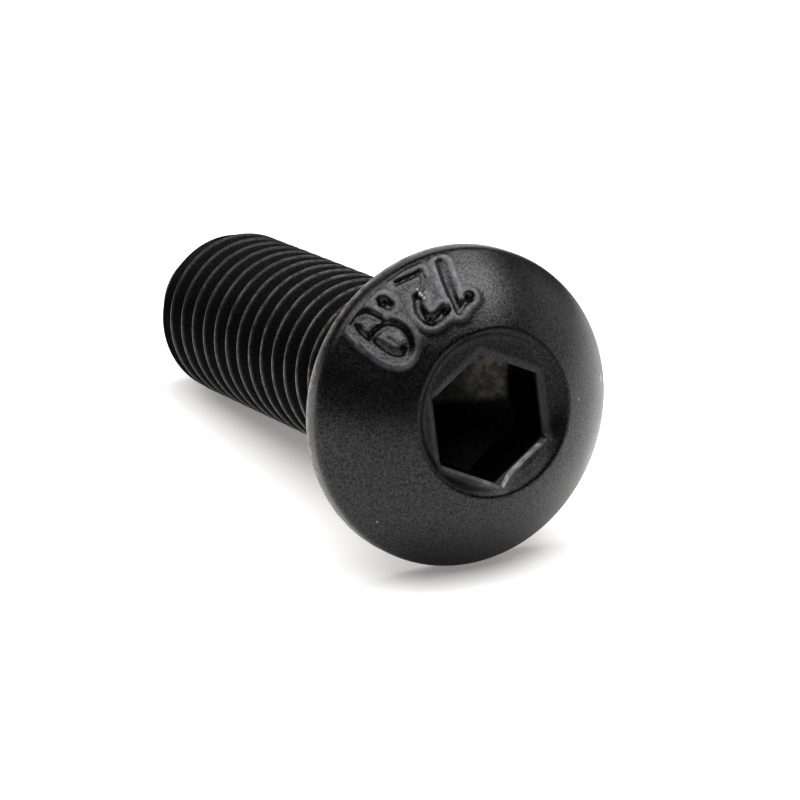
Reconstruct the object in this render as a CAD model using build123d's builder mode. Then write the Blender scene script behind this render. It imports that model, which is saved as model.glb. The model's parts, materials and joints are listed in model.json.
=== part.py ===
from build123d import *
import os
from math import atan, ceil, cos, hypot, radians, sin, sqrt, tan

# Button head screw M8 x 1.25 x 25 with a hexagon socket, in millimetres.
#
# The screw is one piece, forged and thread-rolled from one blank. It is modelled upright, with its
# bearing face at z = 0, the domed head above and the shank below. It is then laid down as it comes
# to rest on a table, on the rim of its head and the crest of its first full turn of thread.

# Head
head_d = 14.0           # over the rim
head_h = 4.15           # bearing face to the highest point, on the edge of the ring round the socket
rim_h = 1.0             # straight side of the rim, up to the foot of the dome
rim_chamfer = 0.12      # at the rim's lower edge
dome_foot_r = 0.5       # rounding between the rim and the dome
ring_d = 7.3            # sunk ring that the socket punch leaves in the dome, at its highest point
ring_shift = 0.43       # how far the ring sits off the screw's axis, towards the upper side
ring_depth = 0.67       # highest point of the ring's edge down to its floor
ring_floor = 0.69       # width of the ring's floor beside the flats of the socket

# Hexagon socket
socket_af = 5.02        # across flats, for a 5 mm key
socket_depth = 2.6      # floor of the ring to the end of the flats at the corners
socket_end_angle = 120  # included angle of the punch's conical end
socket_turn = 3.7       # turn of the hexagon about the screw's axis, from a corner straight up

# Shank
length = 25.0           # bearing face to tip
neck_step = 0.35        # how far the plain neck, which has the blank's diameter, is below the crests
neck_h = 1.8            # bearing face to the end of the plain neck
corner_w = 0.4          # strengthened corner between the neck and the bearing face
tip_step = 1.3          # how far the edge of the flat tip is below the crests
tip_taper = 2.85        # length of the tapered start of the thread

# Thread, ISO metric, right-handed
major_d = 7.8           # over the crests, within the 6g limits of M8
pitch = 1.25
flank_angle = 60
runout = 1.25           # length over which the last turns sink to the neck
crest_phase = 0.787     # height of the crest above the tip on the upper side, as a share of a pitch

# Sizes that follow
head_r, ring_r, socket_r, major_r = head_d / 2, ring_d / 2, socket_af / 2, major_d / 2
neck_r, tip_r = major_r - neck_step, major_r - tip_step
corner_r = socket_r / cos(radians(30))
sharp_h = pitch / 2 / tan(radians(flank_angle / 2))  # height of the sharp V of the thread's profile
thread_h = sharp_h * 17 / 24            # as for ISO external threads, here below a sharp crest
root_r = major_r - thread_h
ridge_w = 2 * thread_h * tan(radians(flank_angle / 2))
taper_slope = tip_step / tip_taper
runout_slope = neck_step / runout
spare = 1.0                             # how far a cut reaches past what it shapes
clear_r = major_r + spare               # outside the thread

# Sphere of the dome, through the rim's foot and the highest point of the ring's edge
peak_r = ring_r - ring_shift
dome_z = (head_h**2 + peak_r**2 - rim_h**2 - head_r**2) / (2 * (head_h - rim_h))
dome_r = hypot(head_r, rim_h - dome_z)
dome_middle_r = head_r / 2
dome_top_z = dome_z + dome_r

# Cone of the ring's wall, from the edge of its floor to above the dome
mouth_z = head_h - ring_depth
floor_r = socket_r + ring_floor
ring_slope = (ring_r - floor_r) / ring_depth
ring_cut_h = dome_top_z - mouth_z + spare

# Head blank: a turned button with dome, rim and neck, and the ring sunk into it. The seams of its
# faces run at 45 degrees to the upper side, clear of the line that the screw lies on.
with BuildPart() as head:
    with BuildSketch(Plane(origin=(0, 0, 0), x_dir=(1, 1, 0), z_dir=(1, -1, 0))) as head_section:
        with BuildLine():
            Polyline(
                (0, dome_top_z),
                (0, -neck_h - neck_r),
                (neck_r, -neck_h),
                (neck_r, -corner_w),
                (neck_r + corner_w, 0),
                (head_r - rim_chamfer, 0),
                (head_r, rim_chamfer),
                (head_r, rim_h),
            )
            ThreePointArc(
                (head_r, rim_h),
                (dome_middle_r, dome_z + sqrt(dome_r**2 - dome_middle_r**2)),
                (0, dome_top_z),
            )
        make_face()
        fillet(head_section.vertices().group_by(Axis.X)[-1].sort_by(Axis.Y)[-1], dome_foot_r)
    revolve(axis=Axis.Z)
    with Locations((ring_shift, 0, mouth_z)):
        Cone(
            bottom_radius=floor_r,
            top_radius=floor_r + ring_slope * ring_cut_h,
            height=ring_cut_h,
            align=(Align.CENTER, Align.CENTER, Align.MIN),
            mode=Mode.SUBTRACT,
        )

# Socket punch: a hexagonal bar with a conical end
with BuildPart() as punch:
    flats_end_z = mouth_z - socket_depth
    cone_h = corner_r / tan(radians(socket_end_angle / 2))
    point_z = flats_end_z - cone_h
    top_z = dome_top_z + spare
    with BuildSketch(Plane.XY.offset(point_z)):
        RegularPolygon(socket_r, side_count=6, major_radius=False, rotation=socket_turn)
    extrude(amount=top_z - point_z)
    with BuildSketch(Plane.XZ):
        with BuildLine():
            Polyline(
                (0, point_z),
                (corner_r + spare, flats_end_z + spare * cone_h / corner_r),
                (corner_r + spare, top_z + spare),
                (0, top_z + spare),
                close=True,
            )
        make_face()
    revolve(axis=Axis.Z, mode=Mode.INTERSECT)


def threaded_bar(start_z, turns):
    """Endless screw form of whole turns: strips ruled between helices, closed by a ramp at each end.

    Every turn has two flanks and a root, and shares its edges with the turns beside it.
    """
    ridge_foot = (pitch - ridge_w) / 2
    corners = [
        (root_r, ridge_foot),
        (major_r, pitch / 2),
        (root_r, ridge_foot + ridge_w),
        (root_r, ridge_foot + pitch),
    ]
    faces = []
    for turn in range(turns):
        turn_z = start_z + turn * pitch
        helices = [Helix(pitch, pitch, r, center=(0, 0, turn_z + z)).edge() for r, z in corners]
        faces += [Face.make_surface_from_curves(low, high) for low, high in zip(helices, helices[1:])]
    for end_z in (start_z, start_z + turns * pitch):
        ramp_z = end_z + ridge_foot
        ramp_rim = Helix(pitch, pitch, root_r, center=(0, 0, ramp_z)).edge()
        ramp_axis = Edge.make_line((0, 0, ramp_z), (0, 0, ramp_z + pitch))
        faces.append(Face.make_surface_from_curves(ramp_rim, ramp_axis))
        section = [(0, 0, ramp_z), *((r, 0, end_z + z) for r, z in corners), (0, 0, ramp_z + pitch)]
        faces.append(Face(Wire.make_polygon(section, close=True)))
    return Solid(Shell(faces))


# Shank: threaded bar, cut back to the taper at the tip and to the run-out at the neck
with BuildPart() as shank:
    bar_start_z = -length + (crest_phase - 2.5) * pitch
    bar_turns = ceil(-bar_start_z / pitch) + 1
    beyond_z = (bar_turns + 3) * pitch + neck_r / runout_slope
    add(threaded_bar(bar_start_z, bar_turns))

    # Taper: a cone from the end face out past the crests
    with BuildSketch(Plane.XZ):
        with BuildLine():
            Polyline(
                (0, -length),
                (tip_r, -length),
                (clear_r, -length + (clear_r - tip_r) / taper_slope),
                (clear_r, -beyond_z - length),
                (0, -beyond_z - length),
                close=True,
            )
        make_face()
    revolve(axis=Axis.Z, mode=Mode.SUBTRACT)

    # Run-out: a cone from outside the crests in to the end of the neck, and on to the axis
    with BuildSketch(Plane.XZ):
        with BuildLine():
            Polyline(
                (0, -neck_h + neck_r / runout_slope),
                (clear_r, -neck_h - (clear_r - neck_r) / runout_slope),
                (clear_r, beyond_z),
                (0, beyond_z),
                close=True,
            )
        make_face()
    revolve(axis=Axis.Z, mode=Mode.SUBTRACT)

# The whole screw, upright
with BuildPart() as upright:
    add(head.part)
    add(shank.part)
    add(punch.part, mode=Mode.SUBTRACT)

# Rest: the line that touches the lower edge of the rim and the first full turn above the taper
turns_in_taper = ceil(tip_taper / pitch - crest_phase - 0.5)
rest_z = -length + (crest_phase + 0.5 + turns_in_taper) * pitch
tilt = atan((head_r - major_r) / (rim_chamfer - rest_z))
axis_height = major_r * cos(tilt) - rest_z * sin(tilt)
tip_reach = length * cos(tilt) + tip_r * sin(tilt)
head_reach = head_h * cos(tilt) + peak_r * sin(tilt)
lying = Plane(
    origin=((tip_reach - head_reach) / 2, 0, axis_height),
    x_dir=(-sin(tilt), 0, cos(tilt)),
    z_dir=(cos(tilt), 0, sin(tilt)),
)

# The finished screw lies along X with its head towards +X and the middle of its box over the origin
with BuildPart(lying) as button_head_screw:
    add(upright.part)
button_head_screw.part.label = "button_head_screw"

os.makedirs("parts", exist_ok=True)
export_step(button_head_screw.part, "parts/button_head_screw.step")
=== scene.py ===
import json
import math

import bmesh
import bpy
import numpy as np
from mathutils import Matrix, Vector


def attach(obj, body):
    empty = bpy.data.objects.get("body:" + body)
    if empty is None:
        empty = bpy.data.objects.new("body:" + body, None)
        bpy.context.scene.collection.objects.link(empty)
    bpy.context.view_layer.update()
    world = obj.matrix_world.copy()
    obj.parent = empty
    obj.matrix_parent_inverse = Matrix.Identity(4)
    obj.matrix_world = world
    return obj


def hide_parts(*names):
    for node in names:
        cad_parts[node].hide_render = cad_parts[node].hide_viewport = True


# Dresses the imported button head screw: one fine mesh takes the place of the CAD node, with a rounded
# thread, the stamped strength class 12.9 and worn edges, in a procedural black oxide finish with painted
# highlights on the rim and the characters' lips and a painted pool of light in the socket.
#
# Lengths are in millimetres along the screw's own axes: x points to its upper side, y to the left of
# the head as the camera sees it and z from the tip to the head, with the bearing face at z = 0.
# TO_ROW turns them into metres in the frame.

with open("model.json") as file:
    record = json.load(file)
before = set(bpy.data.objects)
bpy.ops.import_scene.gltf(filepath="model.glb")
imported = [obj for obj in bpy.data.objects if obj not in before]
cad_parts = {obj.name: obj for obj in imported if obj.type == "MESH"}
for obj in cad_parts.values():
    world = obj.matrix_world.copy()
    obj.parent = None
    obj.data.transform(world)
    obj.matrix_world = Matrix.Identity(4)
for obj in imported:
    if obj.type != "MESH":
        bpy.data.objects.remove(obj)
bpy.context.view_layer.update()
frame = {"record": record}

MM = 0.001
TAU = 2 * math.pi

# ---------------------------------------------------------------- driving sizes, as in the part's source

HEAD_R = 7.0
HEAD_H = 4.15             # bearing face to the highest point of the ring's edge
RIM_H = 1.0               # height at which the dome's sphere meets the rim
RIM_CHAMFER = 0.12
DOME_FOOT_R = 0.8         # rounding between rim and dome, softer than the solid's
RING_R = 3.65             # edge of the ring that is sunk round the socket
RING_SHIFT = 0.43         # how far the ring sits off the screw's axis, towards the upper side
RING_DEPTH = 0.67
RING_FLOOR = 0.69         # width of the ring's floor beside the flats of the socket

SOCKET_R = 2.51           # axis to a flat
SOCKET_DEPTH = 2.6        # floor of the ring to the end of the flats at the corners
SOCKET_TURN = math.radians(3.7)
FLATS = 6
FLAT_TURN = TAU / FLATS
CONE_RISE = math.tan(math.radians(30))     # of the punch's conical end, for each mm outwards

LENGTH = 25.0             # bearing face to tip
MAJOR_R = 3.9             # over the crests
NECK_STEP = 0.35          # how far the neck is below the crests
NECK_H = 1.8
CORNER_W = 0.4            # rounded corner between the neck and the bearing face
TIP_STEP = 1.3            # how far the edge of the tip is below the crests
TIP_TAPER = 2.85
PITCH = 1.25
FLANK = math.tan(math.radians(30))         # half the flank angle, as a slope
RUNOUT = 1.25
CREST_PHASE = 0.787       # height of the crest above the tip on the upper side, as a share of a pitch

# Sizes that follow
NECK_R = MAJOR_R - NECK_STEP
TIP_R = MAJOR_R - TIP_STEP
ROOT_R = MAJOR_R - PITCH / 2 / FLANK * 17 / 24       # depth as for ISO external threads
CREST_FLAT = PITCH / 8    # width of the crest before it is rounded
FLOOR_R = SOCKET_R + RING_FLOOR
PEAK_R = RING_R - RING_SHIFT
DOME_Z = (HEAD_H**2 + PEAK_R**2 - RIM_H**2 - HEAD_R**2) / (2 * (HEAD_H - RIM_H))
DOME_R = math.hypot(HEAD_R, RIM_H - DOME_Z)
MOUTH_Z = HEAD_H - RING_DEPTH
RING_RISE = RING_DEPTH / (RING_R - FLOOR_R)
CORNER_R = SOCKET_R / math.cos(FLAT_TURN / 2)
POINT_Z = MOUTH_Z - SOCKET_DEPTH - CORNER_R * CONE_RISE

# ---------------------------------------------------------------- where the screw lies


def screw_axes():
    """Matrix from the screw's own axes in millimetres to the frame, read from the record's mounts."""
    mounts = {mount["name"]: mount for mount in frame["record"]["mounts"]}
    along = Vector(mounts["hex_socket"]["axis"]).normalized()
    centre = Vector(mounts["hex_socket"]["pos_m"]) - along * MOUTH_Z * MM
    across = Vector((0, -1, 0))
    upper = across.cross(along)
    turn = Matrix((upper, across, along)).transposed().to_4x4()
    return Matrix.Translation(centre) @ turn @ Matrix.Scale(MM, 4)


TO_ROW = screw_axes()

# ---------------------------------------------------------------- smooth shape functions

WAVE_SINES = 5
WAVE_FIRST = 0.7          # waves of the first sine in one length, and what each further one adds
WAVE_STEP = 0.25
WAVE_TOP = 2.2            # what brings the sum of the sines to about -1 to 1


def soft_min(a, b, width):
    """The lower of a and b, with the corner between them rounded over the given width."""
    near = np.maximum(width - np.abs(a - b), 0)
    return np.minimum(a, b) - near**2 / (4 * width)


def soft_max(a, b, width):
    return -soft_min(-a, -b, width)


def smooth_step(share):
    return share * share * (3 - 2 * share)


def dome_height(r):
    return DOME_Z + np.sqrt(np.maximum(DOME_R**2 - r**2, 0))


def on_dome(x, y):
    return np.stack([x, y, dome_height(np.hypot(x, y))], -1)


def hexagon_radius(angle):
    """Distance from the axis to the socket's wall, in the direction of angle."""
    off_flat = np.mod(angle - SOCKET_TURN, FLAT_TURN) - FLAT_TURN / 2
    return SOCKET_R / np.cos(off_flat)


def wave(points, length, seed):
    """Smooth waviness between about -1 and 1, of the given length: a few sines with fixed directions."""
    random = np.random.default_rng(seed)
    total = np.zeros(points.shape[:-1])
    for sine in range(WAVE_SINES):
        direction = random.normal(size=3)
        direction *= TAU / length * (WAVE_FIRST + WAVE_STEP * sine) / np.linalg.norm(direction)
        total += np.sin(points @ direction + random.uniform(0, TAU))
    return total / WAVE_TOP


# ---------------------------------------------------------------- the stamped strength class

LIP_H = 0.06              # height of the metal pushed up beside a groove
LIP_FULL_DEPTH = 0.1      # depth from which a groove has a full lip
LIP_AWAY = 0.12           # from the edge of a groove to its lip
LIP_SPREAD = 0.13
LIP_FADE = 0.23           # how far a lip takes to fade into the dome
WALL_SHARE = 0.95         # share of a groove's half width that its wall takes, beside the flat bottom
PIT_DEPTH = 0.13          # added where a stroke has a pit
PIT_SPREAD = 0.17
STROKE_STEPS = 6          # points from one corner of a stroke to the next

# Strokes of the strength class 12.9, each with its depth, half its width and its corners in plan.
# The characters stand with their feet to the rim.
ONE = (
    (0.11, 0.25, ((6.6, 0.84), (6.07, 0.95), (5.59, 0.98), (5.14, 0.98), (4.84, 0.98))),
    (0.1, 0.21, ((4.84, 0.98), (5.09, 0.6), (5.28, 0.28))),
)
TWO = (
    (0.08, 0.15, ((6.04, 2.96), (6.21, 2.42), (6.37, 1.86))),
    (0.045, 0.2, ((6.37, 1.86), (6.05, 1.88), (5.71, 2.18), (5.43, 2.43))),
    (0.13, 0.27, ((5.43, 2.43), (5.07, 2.54), (4.76, 2.47), (4.59, 2.25), (4.71, 1.88), (4.93, 1.5))),
)
POINT = ((0.11, 0.28, ((5.39, 3.77), (5.24, 3.62))),)
NINE_TOP = ((3.95, 4.63), (4.29, 4.35), (4.5, 3.97), (4.41, 3.61), (4.1, 3.42))
NINE_BOTTOM = ((3.67, 3.43), (3.33, 3.71), (3.35, 4.06), (3.6, 4.39), (3.95, 4.63))
NINE_TAIL = ((3.68, 4.5), (3.99, 4.82), (4.32, 5.0), (4.58, 5.04), (4.85, 4.78), (4.96, 4.42), (4.77, 4.15))
NINE = ((0.1, 0.28, NINE_TOP + NINE_BOTTOM), (0.08, 0.26, NINE_TAIL))
STROKES = ONE + TWO + POINT + NINE
PITS = ((5.28, 0.28), (4.93, 1.5), (4.62, 2.24), (5.39, 3.77))


def smooth_line(corners):
    """Points of a Catmull-Rom curve through the corners, closed if the corners are."""
    corners = np.array(corners)
    knots = [corners[0] * 2 - corners[1], *corners, corners[-1] * 2 - corners[-2]]
    if np.allclose(corners[0], corners[-1]):
        knots[0], knots[-1] = corners[-2], corners[1]
    points = []
    for before, a, b, after in zip(knots, knots[1:], knots[2:], knots[3:]):
        slope = (b - before) / 2
        bend = before - 2.5 * a + 2 * b - after / 2
        twist = 1.5 * a - 1.5 * b + (after - before) / 2
        for share in np.linspace(0, 1, STROKE_STEPS, endpoint=False):
            points.append(a + slope * share + bend * share**2 + twist * share**3)
    return np.array(points + [corners[-1]])


def stroke_distance(points, corners):
    """Distance in space from each point of the dome to a stroke's line."""
    line = on_dome(*smooth_line(corners).T)
    nearest = np.full(points.shape[:-1], np.inf)
    for a, b in zip(line, line[1:]):
        share = np.clip((points - a) @ (b - a) / ((b - a) @ (b - a)), 0, 1)
        nearest = np.minimum(nearest, np.linalg.norm(points - a - share[..., None] * (b - a), axis=-1))
    return nearest


def stamp(radius, angle):
    """How far the dome's skin is pushed in (negative) or up (positive) by the characters."""
    points = on_dome(radius * np.cos(angle), radius * np.sin(angle))
    groove, covered, lip = (np.zeros(radius.shape) for _ in range(3))
    for depth, half_width, corners in STROKES:
        away = stroke_distance(points, corners)
        profile = smooth_step(np.clip((half_width - away) / (half_width * WALL_SHARE), 0, 1))
        groove = np.maximum(groove, depth * profile)
        covered = np.maximum(covered, profile)
        beyond = away - half_width - LIP_AWAY
        ridge = np.exp(-((beyond / np.where(beyond < 0, LIP_SPREAD, LIP_FADE)) ** 2))
        lip = np.maximum(lip, ridge * min(depth / LIP_FULL_DEPTH, 1))
    for pit in PITS:
        away = np.linalg.norm(points - on_dome(*pit), axis=-1)
        groove = groove + PIT_DEPTH * np.exp(-((away / PIT_SPREAD) ** 2))
    return LIP_H * lip * (1 - covered) - groove


# ---------------------------------------------------------------- mesh building


class Skin:
    """Vertices and faces of the screw, gathered from grids."""

    def __init__(self):
        self.points = []
        self.faces = []
        self.count = 0

    def add(self, points):
        """Adds a grid of points (rows, columns, 3) and returns its vertex numbers."""
        rows, columns, _ = points.shape
        numbers = self.count + np.arange(rows * columns).reshape(rows, columns)
        self.points.append(points.reshape(-1, 3))
        self.count += rows * columns
        return numbers

    def strips(self, numbers):
        """Faces between the grid's rows and columns."""
        corners = np.stack([numbers[:-1, :-1], numbers[:-1, 1:], numbers[1:, 1:], numbers[1:, :-1]], -1)
        self.faces += corners.reshape(-1, 4).tolist()

    def bands(self, numbers):
        """Faces between the grid's rows, closed round the columns."""
        self.strips(np.concatenate([numbers, numbers[:, :1]], axis=1))

    def fan(self, ring, point):
        """Faces from a ring of vertices to one point."""
        middle = int(self.add(np.array(point, float).reshape(1, 1, 3))[0, 0])
        self.faces += [[int(a), int(b), middle] for a, b in zip(ring, np.roll(ring, -1))]

    def zip_rings(self, inner, inner_angles, outer, outer_angles):
        """Flat triangles between two rings with different numbers of vertices, both from angle zero up."""
        i = j = 0
        inner_angles = np.append(inner_angles, TAU)
        outer_angles = np.append(outer_angles, TAU)
        while i < len(inner) or j < len(outer):
            a = int(inner[i % len(inner)])
            b = int(outer[j % len(outer)])
            inner_steps = j == len(outer) or (i < len(inner) and inner_angles[i + 1] <= outer_angles[j + 1])
            if inner_steps:
                i += 1
                self.faces.append([a, b, int(inner[i % len(inner)])])
            else:
                j += 1
                self.faces.append([a, b, int(outer[j % len(outer)])])


def ring_points(radius, angles, height):
    """Points at radius and height, either of which may differ from column to column."""
    radius = np.broadcast_to(radius, angles.shape)
    height = np.broadcast_to(height, angles.shape)
    return np.stack([radius * np.cos(angles), radius * np.sin(angles), height], -1)


# ---------------------------------------------------------------- head

MARK_SECTOR = (-6, 66)    # degrees that the characters take up, with the steps inside and outside it
FINE_STEP = 0.4
COARSE_STEP = 1.2
CONE_ROWS = (0.12, 0.35, 0.6, 0.85, 0.97, 1.0)      # shares of the way from the point to the flats
WALL_ROWS = (0.05, 0.3, 0.6, 0.85, 1.0)
RING_ROWS = 19
DOME_ROWS = 73
FOOT_ROWS = 7
RIM_ROWS = 5
CHAMFER_ROWS = (0.33, 0.67, 1.0)
CHAMFER_BULGE = 0.02
FACE_ROWS = (6.2, 5.2, 4.7)                         # radii on the bearing face

RING_FLOOR_SOFT = 0.3     # rounding at the foot and at the edge of the ring's wall
RING_EDGE_SOFT = 0.4
RING_UNEVEN = 0.04        # height and length of the ring's unevenness
RING_WAVE = 4.0
RING_SEED = 3
EDGE_BURR = 0.035         # height and width of the burr along the upper left of the ring's edge
EDGE_BURR_W = 0.1
EDGE_BURR_TURN = math.radians(14)                   # its middle, from the upper side, and half its sweep
EDGE_BURR_SPAN = math.radians(16)
EDGE_MARGIN = 0.3         # the rows are closer up to this far beyond the ring's edge
EDGE_SEARCH = 0.4         # how far inside and outside the ring's circle its edge is looked for
HALVINGS = 40
LIP_W = (0.24, 0.12, 0.16, 0.2, 0.29, 0.26)         # worn edge of the socket's mouth, flat by flat
LIP_SLOPE = (0.3, 0.5, 0.6, 0.7, 0.3, 0.3)          # its fall for each mm of width
CORNER_BLEND = 0.14       # share of a flat over which it takes on its neighbour's edge


def head_columns():
    """Angles of the head's columns: fine under the stamped characters, and one at each socket corner."""
    start, end = MARK_SECTOR
    fine = np.arange(start, end, FINE_STEP)
    coarse = np.arange(end, start + 360, COARSE_STEP)
    angles = np.radians(np.concatenate([fine, coarse]))
    for flat in range(FLATS):
        corner = SOCKET_TURN + flat * FLAT_TURN
        gap = np.abs(np.mod(angles - corner + math.pi, TAU) - math.pi)
        angles[np.argmin(gap)] = corner
    return np.sort(np.mod(angles, TAU))


def by_flat(values, angles):
    """The value of each direction, from one value for each flat of the socket, blended near the corners."""
    place = np.mod(angles - SOCKET_TURN, TAU) / FLAT_TURN
    corner = np.arange(FLATS)
    knots = np.sort(np.concatenate([corner + CORNER_BLEND, corner + 1 - CORNER_BLEND]))
    return np.interp(place, knots, np.repeat(values, 2), period=FLATS)


def ring_wall(r, angles):
    """Height of the cone of the ring's wall."""
    off_axis = np.hypot(r * np.cos(angles) - RING_SHIFT, r * np.sin(angles))
    return MOUTH_Z + (off_axis - FLOOR_R) * RING_RISE


def ring_edge(angles):
    """Distance from the axis to the edge between dome and ring, found by halving."""
    low = np.full(angles.shape, RING_R - RING_SHIFT - EDGE_SEARCH)
    high = np.full(angles.shape, RING_R + RING_SHIFT + EDGE_SEARCH)
    for _ in range(HALVINGS):
        middle = (low + high) / 2
        below = ring_wall(middle, angles) < dome_height(middle)
        low = np.where(below, middle, low)
        high = np.where(below, high, middle)
    return (low + high) / 2


def top_height(r, angles, edge_r):
    """Height of ring and dome, before the characters are stamped."""
    uneven = RING_UNEVEN * wave(ring_points(r, angles, 0.0), RING_WAVE, RING_SEED)
    ring = soft_max(ring_wall(r, angles), np.full(r.shape, MOUTH_Z), RING_FLOOR_SOFT)
    off_burr = (np.mod(angles - EDGE_BURR_TURN + math.pi, TAU) - math.pi) / EDGE_BURR_SPAN
    burr = EDGE_BURR * np.exp(-(off_burr**4) - ((r - edge_r) / EDGE_BURR_W) ** 2)
    return soft_min(ring + uneven, dome_height(r), RING_EDGE_SOFT) + burr


def socket_rows(angles, wall_r, lip):
    """Conical end and walls of the socket, up to the worn edge of its mouth."""
    rows = []
    for share in CONE_ROWS:
        rows.append(ring_points(wall_r * share, angles, POINT_Z + wall_r * share * CONE_RISE))
    flats_end = POINT_Z + wall_r * CONE_RISE
    mouth = np.maximum(ring_wall(wall_r + lip, angles), MOUTH_Z)
    wall_top = mouth - lip * by_flat(LIP_SLOPE, angles)
    for share in WALL_ROWS:
        rows.append(ring_points(wall_r, angles, flats_end + (wall_top - flats_end) * share))
    return rows


def top_rows(angles, start_r, foot_r):
    """Ring and dome with the stamped characters, out to the foot of the dome."""
    edge_r = ring_edge(angles)
    middle_r = edge_r + EDGE_MARGIN
    rows = []
    for share in np.linspace(0, 1, RING_ROWS):
        r = start_r + (middle_r - start_r) * share
        rows.append(ring_points(r, angles, top_height(r, angles, edge_r)))
    for share in np.linspace(0, 1, DOME_ROWS + 1)[1:]:
        r = middle_r + (foot_r - middle_r) * share
        z = top_height(r, angles, edge_r)
        push = stamp(r, angles)
        rows.append(ring_points(r + push * r / DOME_R, angles, z + push * (z - DOME_Z) / DOME_R))
    return rows


def rim_rows(angles, foot_centre_r, foot_centre_z, foot_turn):
    """Rounded foot of the dome, rim, chamfer and bearing face."""
    rows = []
    for share in np.linspace(0, 1, FOOT_ROWS + 1)[1:]:
        turn = foot_turn * (1 - share)
        r = foot_centre_r + DOME_FOOT_R * math.cos(turn)
        rows.append(ring_points(r, angles, foot_centre_z + DOME_FOOT_R * math.sin(turn)))
    for z in np.linspace(foot_centre_z, RIM_CHAMFER, RIM_ROWS + 1)[1:]:
        rows.append(ring_points(HEAD_R, angles, z))
    for share in CHAMFER_ROWS:
        bulge = CHAMFER_BULGE * math.sin(share * math.pi)
        r = HEAD_R - RIM_CHAMFER * share + bulge
        rows.append(ring_points(r, angles, RIM_CHAMFER * (1 - share) - bulge))
    for r in FACE_ROWS:
        rows.append(ring_points(r, angles, 0.0))
    return rows


def build_head(skin):
    """Socket, ring, dome, rim and bearing face. Returns the bearing face's inner ring and its angles."""
    angles = head_columns()
    wall_r = hexagon_radius(angles)
    lip = by_flat(LIP_W, angles)
    foot_centre_r = HEAD_R - DOME_FOOT_R
    foot_centre_z = DOME_Z + math.sqrt((DOME_R - DOME_FOOT_R) ** 2 - foot_centre_r**2)
    foot_turn = math.atan2(foot_centre_z - DOME_Z, foot_centre_r)
    rows = socket_rows(angles, wall_r, lip)
    rows += top_rows(angles, wall_r + lip, DOME_R * math.cos(foot_turn))
    rows += rim_rows(angles, foot_centre_r, foot_centre_z, foot_turn)
    numbers = skin.add(np.array(rows))
    skin.bands(numbers[:, ::-1])
    skin.fan(numbers[0], (0, 0, POINT_Z))
    return numbers[-1], angles


# ---------------------------------------------------------------- shank

THREAD_COLUMNS = 144
# Places of the thread's rows over one pitch, from the middle of a root: closer at the root and crest
THREAD_ROWS = (0.0, 0.08, 0.15, 0.22, 0.32, 0.4, 0.44, 0.47, 0.5, 0.53, 0.56, 0.6, 0.68, 0.78, 0.85, 0.92)
TURNS_BEFORE = 2.5        # turns by which the thread's rows start before the tip
SPARE_TURNS = 3           # turns of rows beyond those that the length takes
CREST_SOFT = 0.1          # roundings of the crests, of the roots and at the tip's taper
ROOT_SOFT = 0.22
TAPER_SOFT = 0.08
NECK_FACE_W = 0.25        # strip of the bearing face beside the neck's corner
CORNER_ROWS = 7


def thread_radius(angle, z):
    """Radius of the thread, with rounded crests and roots, tapered at the tip and faded at the neck."""
    turns = (z + LENGTH) / PITCH - CREST_PHASE - angle / TAU
    off_crest = np.abs(np.mod(turns + 0.5, 1) - 0.5) * PITCH
    flank = MAJOR_R - (off_crest - CREST_FLAT / 2) / FLANK
    r = soft_min(flank, MAJOR_R, CREST_SOFT)
    r = soft_max(r, ROOT_R, ROOT_SOFT)
    fade = smooth_step(np.clip((-NECK_H - z) / RUNOUT, 0, 1))
    r = NECK_R + (r - NECK_R) * fade
    taper = TIP_R + (z + LENGTH) * TIP_STEP / TIP_TAPER
    return soft_min(r, taper, TAPER_SOFT)


def neck_rows(angles):
    """A strip of the bearing face, the rounded corner and the neck down to its middle."""
    rows = [ring_points(NECK_R + CORNER_W + NECK_FACE_W, angles, 0.0)]
    for turn in np.linspace(math.pi / 2, 0, CORNER_ROWS):
        r = NECK_R + CORNER_W * (1 - math.cos(turn))
        rows.append(ring_points(r, angles, -CORNER_W * (1 - math.sin(turn))))
    rows.append(ring_points(NECK_R, angles, -(CORNER_W + NECK_H) / 2))
    return np.array(rows)


def thread_rows(angles):
    """Rows that follow the helix from the neck to the tip, and are held back at both."""
    turns = math.ceil(LENGTH / PITCH) + SPARE_TURNS
    rows = np.array([turn + row for turn in range(turns) for row in THREAD_ROWS])
    z = -LENGTH + (rows[:, None] - TURNS_BEFORE + CREST_PHASE + angles / TAU) * PITCH
    z = np.clip(z, -LENGTH, -NECK_H)[::-1]
    r = thread_radius(angles, z)
    return np.stack([r * np.cos(angles), r * np.sin(angles), z], -1)


def build_shank(skin):
    """Neck and thread, from the bearing face's corner to the tip. Returns the first ring and its angles."""
    closed = np.linspace(0, TAU, THREAD_COLUMNS + 1)
    angles = closed[:-1]
    neck = skin.add(neck_rows(angles))
    thread = skin.add(thread_rows(closed))
    skin.bands(neck[:, ::-1])
    skin.strips(thread[:, ::-1])
    skin.bands(np.stack([neck[-1], thread[0, :-1]])[:, ::-1])
    skin.fan(thread[-1, -2::-1], (0, 0, -LENGTH))
    return neck[0], angles


# ---------------------------------------------------------------- the whole screw

MERGE_M = 2e-7            # vertices closer than this are one
TINY_EDGE_M = 1e-8        # edges shorter than this are dissolved
SHARP_ANGLE = math.radians(30)


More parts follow.
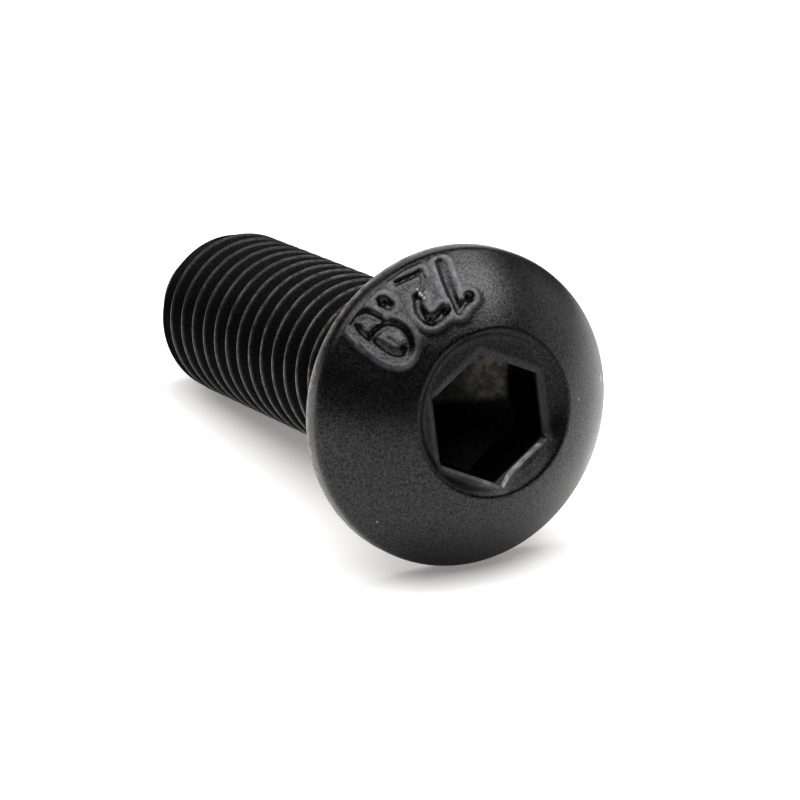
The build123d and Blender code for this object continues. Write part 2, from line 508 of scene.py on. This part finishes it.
def screw_mesh():
    skin = Skin()
    face_ring, face_angles = build_head(skin)
    corner_ring, corner_angles = build_shank(skin)
    skin.zip_rings(corner_ring, corner_angles, face_ring, face_angles)
    turn = np.array(TO_ROW)
    placed = np.concatenate(skin.points) @ turn[:3, :3].T + turn[:3, 3]
    mesh = bpy.data.meshes.new("button_head_screw_fine")
    mesh.from_pydata(placed.tolist(), [], skin.faces)
    work = bmesh.new()
    work.from_mesh(mesh)
    bmesh.ops.remove_doubles(work, verts=work.verts, dist=MERGE_M)
    bmesh.ops.dissolve_degenerate(work, edges=work.edges, dist=TINY_EDGE_M)
    bmesh.ops.recalc_face_normals(work, faces=work.faces)
    work.to_mesh(mesh)
    work.free()
    mesh.shade_smooth()
    mesh.set_sharp_from_angle(angle=SHARP_ANGLE)
    return mesh


screw = bpy.data.objects.new("button_head_screw_fine", screw_mesh())
bpy.context.scene.collection.objects.link(screw)
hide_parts("button_head_screw")
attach(screw, "root")

# ---------------------------------------------------------------- material nodes

SPOT_CORE = 0.5           # share of a spot's radius that is fully covered


def new_material(name):
    material = bpy.data.materials.new(name)
    material.use_nodes = True
    nodes = material.node_tree.nodes
    nodes.clear()
    output = nodes.new("ShaderNodeOutputMaterial")
    shader = nodes.new("ShaderNodeBsdfPrincipled")
    material.node_tree.links.new(shader.outputs[0], output.inputs[0])
    return material, shader


class Graph:
    """Short ways to add nodes to a material."""

    def __init__(self, material):
        self.nodes = material.node_tree.nodes
        self.link = material.node_tree.links.new

    def feed(self, value, socket):
        if isinstance(value, (int, float, tuple)):
            socket.default_value = value
        else:
            self.link(value, socket)

    def noise(self, vector, scale, detail, rough):
        node = self.nodes.new("ShaderNodeTexNoise")
        node.inputs["Scale"].default_value = scale
        node.inputs["Detail"].default_value = detail
        node.inputs["Roughness"].default_value = rough
        self.link(vector, node.inputs["Vector"])
        return node.outputs["Fac"]

    def math(self, operation, a, b=0.0):
        node = self.nodes.new("ShaderNodeMath")
        node.operation = operation
        self.feed(a, node.inputs[0])
        self.feed(b, node.inputs[1])
        return node.outputs[0]

    def product(self, first, *others):
        for other in others:
            first = self.math("MULTIPLY", first, other)
        return first

    def largest(self, first, *others):
        for other in others:
            first = self.math("MAXIMUM", first, other)
        return first

    def length(self, a, b):
        """Length of the vector (a, b)."""
        return self.math("SQRT", self.math("ADD", self.product(a, a), self.product(b, b)))

    def span(self, value, low, high, out_low=0.0, out_high=1.0):
        """Value between low and high, moved to between out_low and out_high and held there."""
        node = self.nodes.new("ShaderNodeMapRange")
        node.interpolation_type = "SMOOTHSTEP"
        ends = {"From Min": low, "From Max": high, "To Min": out_low, "To Max": out_high}
        for name, number in ends.items():
            node.inputs[name].default_value = number
        self.link(value, node.inputs["Value"])
        return node.outputs["Result"]

    def mix(self, share, a, b):
        node = self.nodes.new("ShaderNodeMix")
        node.data_type = "RGBA"
        self.feed(share, node.inputs["Factor"])
        self.feed(a, node.inputs["A"])
        self.feed(b, node.inputs["B"])
        return node.outputs["Result"]

    def own_axes(self):
        """Place along the screw's own axes, in mm."""
        coords = self.nodes.new("ShaderNodeTexCoord")
        node = self.nodes.new("ShaderNodeMapping")
        node.vector_type = "TEXTURE"
        node.inputs["Location"].default_value = TO_ROW.to_translation()
        node.inputs["Rotation"].default_value = TO_ROW.to_euler()
        node.inputs["Scale"].default_value = (MM, MM, MM)
        self.link(coords.outputs["Object"], node.inputs["Vector"])
        return node.outputs["Vector"]

    def spot(self, vector, place, size):
        """One inside a ball of the given radius round the place, fading to nothing at its skin."""
        node = self.nodes.new("ShaderNodeVectorMath")
        node.operation = "DISTANCE"
        self.link(vector, node.inputs[0])
        node.inputs[1].default_value = place
        return self.span(node.outputs["Value"], size, size * SPOT_CORE)

    def parts(self, vector):
        node = self.nodes.new("ShaderNodeSeparateXYZ")
        self.link(vector, node.inputs[0])
        return node.outputs

    def bump(self, height, distance, strength):
        node = self.nodes.new("ShaderNodeBump")
        node.inputs["Strength"].default_value = strength
        node.inputs["Distance"].default_value = distance
        self.link(height, node.inputs["Height"])
        return node.outputs["Normal"]


# ---------------------------------------------------------------- black oxide finish

OXIDE_DARK = (0.0003, 0.0003, 0.0004, 1)
OXIDE_PALE = (0.0022, 0.0022, 0.0028, 1)
THREAD_BLACK = (0.001, 0.001, 0.0011, 1)
# Rubbed oxide on the socket's mouth; on the characters' lips partly rubbed oxide, partly a painted
# highlight
RUBBED_OXIDE_AND_PAINTED_HIGHLIGHT = (0.095, 0.096, 0.103, 1)
# Lower edge of the rim: partly wear, partly a painted highlight
WORN_RIM_AND_PAINTED_HIGHLIGHT = (0.28, 0.265, 0.25, 1)
# Painted light: pale colour for the pool of light on the upper part of the socket's bottom
SOCKET_PAINTED_LIGHT = (0.2, 0.195, 0.155, 1)
BARE_STEEL = (0.2, 0.19, 0.175, 1)
BARE_METALLIC = 0.8

# Noises: features in a mm, detail and roughness
GRAIN = (9.0, 3, 0.65)
CLOUD = (0.35, 3, 0.5)
SPECK = (2.6, 2, 0.5)
RARE = (1.7, 1, 0.4)

# Where each mask starts and where it is full, along an axis, a distance from the axis or a noise.
# A further pair gives its values there, where they aren't 0 and 1.
HEAD_FROM = (-0.2, -0.1)
THREAD_FROM = (-1.2, -1.4)
VALLEY_FROM = (-0.1, -0.9)
VALLEY_R = (MAJOR_R, MAJOR_R - 0.14)
CREST_R = (MAJOR_R - 0.06, MAJOR_R)
CREST_WEAR = (-23.0, -6.0, 0.05, 0.5)      # less rubbed towards the tip
CREST_SPECK = (0.38, 0.62, 0.1, 1.0)
FLECK = (0.83, 0.85)
PUSHED_UP = (0.01, 0.06)                   # above the dome
PUSHED_SPECK = (0.3, 0.7, 0.5, 1.0)
PUSHED_CLOUD = (0.42, 0.6, 0.35, 1.0)
RIM_R = (HEAD_R - 0.2, HEAD_R - 0.1)
RIM_LOW = (0.6, 0.0)
RIM_SPECK = (0.3, 0.65, 0.35, 1.0)
MOUTH_OUT = (SOCKET_R + 0.4, SOCKET_R + 0.2)
MOUTH_FROM = (MOUTH_Z - 0.3, MOUTH_Z - 0.2)
MOUTH_WEAR = 0.2
# Where the painted pool of light on the socket's bottom lies
PATCH_X = (-0.25, 0.2)
PATCH_Y = (-0.4, -1.5, 0.22, 0.75)
PATCH_END_Y = (-2.5, -2.2)
PATCH_TOP = (1.15, 1.05)
PATCH_BELOW = (-1.1, -1.0)
PATCH_R = (3.1, 3.0)
PATCH_SPECK = (0.35, 0.65, 0.35, 1.0)
BURR_OUT = (SOCKET_R + 0.18, SOCKET_R + 0.12)
BURR_IN = (2.4, 2.5)
BURR_ALONG = (CORNER_R / 2 + 0.02, CORNER_R / 2 - 0.05)
BURR_SPECK = (0.3, 0.6, 0.5, 1.0)
DULL_RING_R = (RING_R + 0.05, RING_R - 0.1)
DULL_RING = 0.5
DULL_SOCKET_R = (3.0, 2.9)
DULL_SOCKET_Z = (MOUTH_Z - 0.1, MOUTH_Z - 0.4)
DULL_LOW_SIDE = (-3.0, -6.8, 0.0, 0.75)

OXIDE_GRAIN = (0.3, 0.75)
ROUGH_CLOUD = (0.3, 0.7, 0.25, 0.32)
ROUGH_GRAIN = (0.2, 0.8, -0.03, 0.04)
DULL_ROUGH = 0.2          # added to the roughness where the finish is dull
GLOSS = (0.0, 1.0, 0.4, 0.08)              # from the full finish to where it is dull
GLOSS_GRAIN = (0.3, 0.7, 0.5, 1.5)
GRAIN_H = 0.012
GRAIN_STRENGTH = 0.9

# Flecks of bare metal: place and size. Four in a row are a scratch across the 2.
FLECKS = (
    ((0.39, -6.42, 1.77), 0.24),
    ((0.18, -4.29, 3.62), 0.08),
    ((-3.98, 4.85, 1.96), 0.07),
    ((5.75, 2.28, 2.06), 0.1),
    ((5.65, 2.25, 2.17), 0.1),
    ((5.55, 2.21, 2.28), 0.1),
    ((5.45, 2.18, 2.39), 0.1),
    ((-1.03, 3.66, -9.38), 0.16),
    ((-1.98, 3.24, -9.84), 0.13),
    ((-0.78, 3.72, -10.06), 0.1),
)

# Flats of the socket with a bare burr on their edge, and how bare it is
BURRS = ((3, 0.8), (2, 0.3))


class Finish(Graph):
    """Places, noises and masks on the screw. A mask is 1 where it applies in full and 0 elsewhere."""

    def __init__(self, material):
        super().__init__(material)
        self.at = self.own_axes()
        self.x, self.y, self.z = self.parts(self.at)
        self.radius = self.length(self.x, self.y)
        self.grain = self.noise(self.at, *GRAIN)
        self.cloud = self.noise(self.at, *CLOUD)
        self.speck = self.noise(self.at, *SPECK)
        self.on_head = self.span(self.z, *HEAD_FROM)
        self.valley = self.product(self.span(self.radius, *VALLEY_R), self.span(self.z, *VALLEY_FROM))

    def outwards(self, turn):
        """Distance from the axis in the direction of turn."""
        return self.math("ADD", self.product(self.x, math.cos(turn)), self.product(self.y, math.sin(turn)))

    def rubbed_crests(self):
        return self.product(
            self.span(self.radius, *CREST_R),
            self.span(self.z, *THREAD_FROM),
            self.span(self.speck, *CREST_SPECK),
            self.span(self.z, *CREST_WEAR),
        )

    def burr(self, flat, share):
        """Strip along the mouth's edge over one flat of the socket."""
        turn = SOCKET_TURN + FLAT_TURN * (flat + 0.5)
        out = self.outwards(turn)
        along = self.math("ABSOLUTE", self.outwards(turn + math.pi / 2))
        return self.product(
            self.span(out, *BURR_OUT),
            self.span(out, *BURR_IN),
            self.span(self.z, *MOUTH_FROM),
            self.span(along, *BURR_ALONG),
            self.span(self.speck, *BURR_SPECK),
            share,
        )

    def bare_metal(self):
        """Rubbed crests, flecks and the burrs."""
        return self.largest(
            self.rubbed_crests(),
            self.span(self.noise(self.at, *RARE), *FLECK),
            *(self.spot(self.at, place, size) for place, size in FLECKS),
            *(self.burr(flat, share) for flat, share in BURRS),
        )

    def lips_rubbed_and_painted_highlight(self):
        """Lips of the stamped characters, which stand above the dome: painted paler, partly as rubbed
        oxide, partly as a painted highlight.
        """
        from_centre = self.length(self.radius, self.math("SUBTRACT", self.z, DOME_Z))
        return self.product(
            self.span(self.math("SUBTRACT", from_centre, DOME_R), *PUSHED_UP),
            self.on_head,
            self.span(self.speck, *PUSHED_SPECK),
            self.span(self.cloud, *PUSHED_CLOUD),
        )

    def worn_rim_and_painted_highlight(self):
        """Lower edge of the rim, painted pale: partly wear, partly a painted highlight."""
        return self.product(
            self.span(self.radius, *RIM_R),
            self.on_head,
            self.span(self.z, *RIM_LOW),
            self.span(self.speck, *RIM_SPECK),
        )

    def worn_mouth(self):
        """Edge of the socket's mouth on all its flats."""
        turns = (SOCKET_TURN + FLAT_TURN * (flat + 0.5) for flat in range(FLATS // 2))
        out = self.largest(*(self.math("ABSOLUTE", self.outwards(turn)) for turn in turns))
        return self.product(
            self.span(out, *MOUTH_OUT),
            self.on_head,
            self.span(self.z, *MOUTH_FROM, 0.0, MOUTH_WEAR),
        )

    def painted_socket_light(self):
        """Painted light: a pale patch for the light that falls on the upper part of the socket's bottom."""
        return self.product(
            self.span(self.x, *PATCH_X),
            self.span(self.y, *PATCH_Y),
            self.span(self.y, *PATCH_END_Y),
            self.span(self.z, *PATCH_TOP),
            self.span(self.z, *PATCH_BELOW),
            self.span(self.radius, *PATCH_R),
            self.span(self.speck, *PATCH_SPECK),
        )

    def oxide(self):
        """Colour of the finish, without the bare metal, with the painted highlights and the painted light
        in the socket.
        """
        colour = self.mix(self.span(self.grain, *OXIDE_GRAIN), OXIDE_DARK, OXIDE_PALE)
        colour = self.mix(self.valley, colour, THREAD_BLACK)
        # characters' lips: partly rubbed oxide, partly a painted highlight
        colour = self.mix(self.lips_rubbed_and_painted_highlight(), colour, RUBBED_OXIDE_AND_PAINTED_HIGHLIGHT)
        # lower edge of the rim: partly wear, partly a painted highlight
        colour = self.mix(self.worn_rim_and_painted_highlight(), colour, WORN_RIM_AND_PAINTED_HIGHLIGHT)
        colour = self.mix(self.worn_mouth(), colour, RUBBED_OXIDE_AND_PAINTED_HIGHLIGHT)
        # painted pool of light on the upper part of the socket's bottom
        return self.mix(self.painted_socket_light(), colour, SOCKET_PAINTED_LIGHT)

    def dull(self):
        """Ring, thread valleys, socket and the low side of the head, which are less glossy."""
        from_ring_axis = self.length(self.math("SUBTRACT", self.x, RING_SHIFT), self.y)
        return self.largest(
            self.product(self.span(from_ring_axis, *DULL_RING_R), DULL_RING),
            self.valley,
            self.product(self.span(self.radius, *DULL_SOCKET_R), self.span(self.z, *DULL_SOCKET_Z)),
            self.product(self.span(self.x, *DULL_LOW_SIDE), self.on_head),
        )

    def roughness(self, dull):
        even = self.math("ADD", self.span(self.cloud, *ROUGH_CLOUD), self.span(self.grain, *ROUGH_GRAIN))
        return self.math("ADD", even, self.product(dull, DULL_ROUGH))


def black_oxide():
    """Blackened steel: fine matt grain, cloudy oxide, bare metal where it is rubbed and a dull socket, with
    painted highlights on the rim and the characters' lips and a painted pool of light in the socket.
    """
    material, shader = new_material("black_oxide_steel_worn_and_painted_light")
    finish = Finish(material)
    bare = finish.bare_metal()
    dull = finish.dull()
    gloss = finish.product(finish.span(dull, *GLOSS), finish.span(finish.grain, *GLOSS_GRAIN))
    grain = finish.bump(finish.grain, GRAIN_H * MM, GRAIN_STRENGTH)
    finish.feed(finish.mix(bare, finish.oxide(), BARE_STEEL), shader.inputs["Base Color"])
    finish.feed(finish.product(bare, BARE_METALLIC), shader.inputs["Metallic"])
    finish.feed(finish.roughness(dull), shader.inputs["Roughness"])
    finish.feed(gloss, shader.inputs["Specular IOR Level"])
    finish.feed(grain, shader.inputs["Normal"])
    return material


screw.data.materials.append(black_oxide())

# ---------------------------------------------------------------- stage and light

FLOOR_HALF = 0.6          # metres from the middle of the floor to its edge
FLOOR_PALE = (0.8, 0.8, 0.8, 1)
FLOOR_ROUGH = 0.9
FLOOR_GLOSS = 0.1
FLOOR_GLOW = (1.0, 0.97, 0.93, 1)          # stands for light that a white room sends back to the floor
FLOOR_GLOW_STRENGTH = 0.28
VIEW_GAMMA = 0.9

LIT_PLACE = TO_ROW @ Vector((0, 0, 2))     # on the axis inside the head, where the softboxes point
# Softboxes: name, place from there in metres, width and depth in metres, radiance
SOFTBOXES = (
    ("overhead", (0.02, 0.0, 0.3), 0.54, 0.38, 3.9),
    ("high_far", (0.04, 0.15, 0.26), 0.1, 0.1, 4.5),
    ("far_card", (0.03, 0.3, 0.08), 0.3, 0.2, 0.95),
    ("left", (-0.17, -0.14, 0.2), 0.16, 0.16, 2.6),
    ("behind", (-0.3, 0.15, 0.08), 0.3, 0.12, 1.0),
)

scene = bpy.context.scene


def floor():
    corners = [(-1, -1), (1, -1), (1, 1), (-1, 1)]
    mesh = bpy.data.meshes.new("floor")
    mesh.from_pydata([(x * FLOOR_HALF, y * FLOOR_HALF, 0) for x, y in corners], [], [(0, 1, 2, 3)])
    thing = bpy.data.objects.new("floor", mesh)
    scene.collection.objects.link(thing)
    material, shader = new_material("pale_floor")
    shader.inputs["Base Color"].default_value = FLOOR_PALE
    shader.inputs["Roughness"].default_value = FLOOR_ROUGH
    shader.inputs["Specular IOR Level"].default_value = FLOOR_GLOSS
    shader.inputs["Emission Color"].default_value = FLOOR_GLOW
    shader.inputs["Emission Strength"].default_value = FLOOR_GLOW_STRENGTH
    mesh.materials.append(material)


def dark_world():
    """All light comes from the softboxes and the floor."""
    world = bpy.data.worlds.new("studio")
    world.use_nodes = True
    world.node_tree.nodes["Background"].inputs["Strength"].default_value = 0.0
    scene.world = world


def softbox(name, place, width, depth, radiance):
    """Area lamp, whose power in watts is its radiance times pi and its area."""
    data = bpy.data.lights.new(name, "AREA")
    data.shape = "RECTANGLE"
    data.size = width
    data.size_y = depth
    data.energy = radiance * math.pi * width * depth
    thing = bpy.data.objects.new(name, data)
    thing.location = LIT_PLACE + Vector(place)
    thing.rotation_euler = (-Vector(place)).to_track_quat("-Z", "Y").to_euler()
    scene.collection.objects.link(thing)


floor()
dark_world()
for values in SOFTBOXES:
    softbox(*values)

scene.view_settings.view_transform = "Standard"
scene.view_settings.look = "None"
scene.view_settings.gamma = VIEW_GAMMA

# ---------------------------------------------------------------- camera

# Found by fitting the photograph's outlines of head, socket and shank; it has no roll
CAMERA_PLACE = Vector((150.45, -79.06, 67.2)) * MM    # from the middle of the bearing face
CAMERA_AIM = Vector((-0.82902, 0.42193, -0.36701))
FOCAL_PX = 4238.5         # focal length in pixels of a picture PICTURE_PX wide
PICTURE_PX = 800
SENSOR_MM = 36.0
CLIP_M = (0.005, 10)


def camera():
    data = bpy.data.cameras.new("camera")
    data.sensor_width = SENSOR_MM
    data.lens = FOCAL_PX * SENSOR_MM / PICTURE_PX
    data.clip_start, data.clip_end = CLIP_M
    thing = bpy.data.objects.new("camera", data)
    thing.location = TO_ROW.to_translation() + CAMERA_PLACE
    thing.rotation_euler = CAMERA_AIM.to_track_quat("-Z", "Y").to_euler()
    scene.collection.objects.link(thing)
    scene.camera = thing


camera()
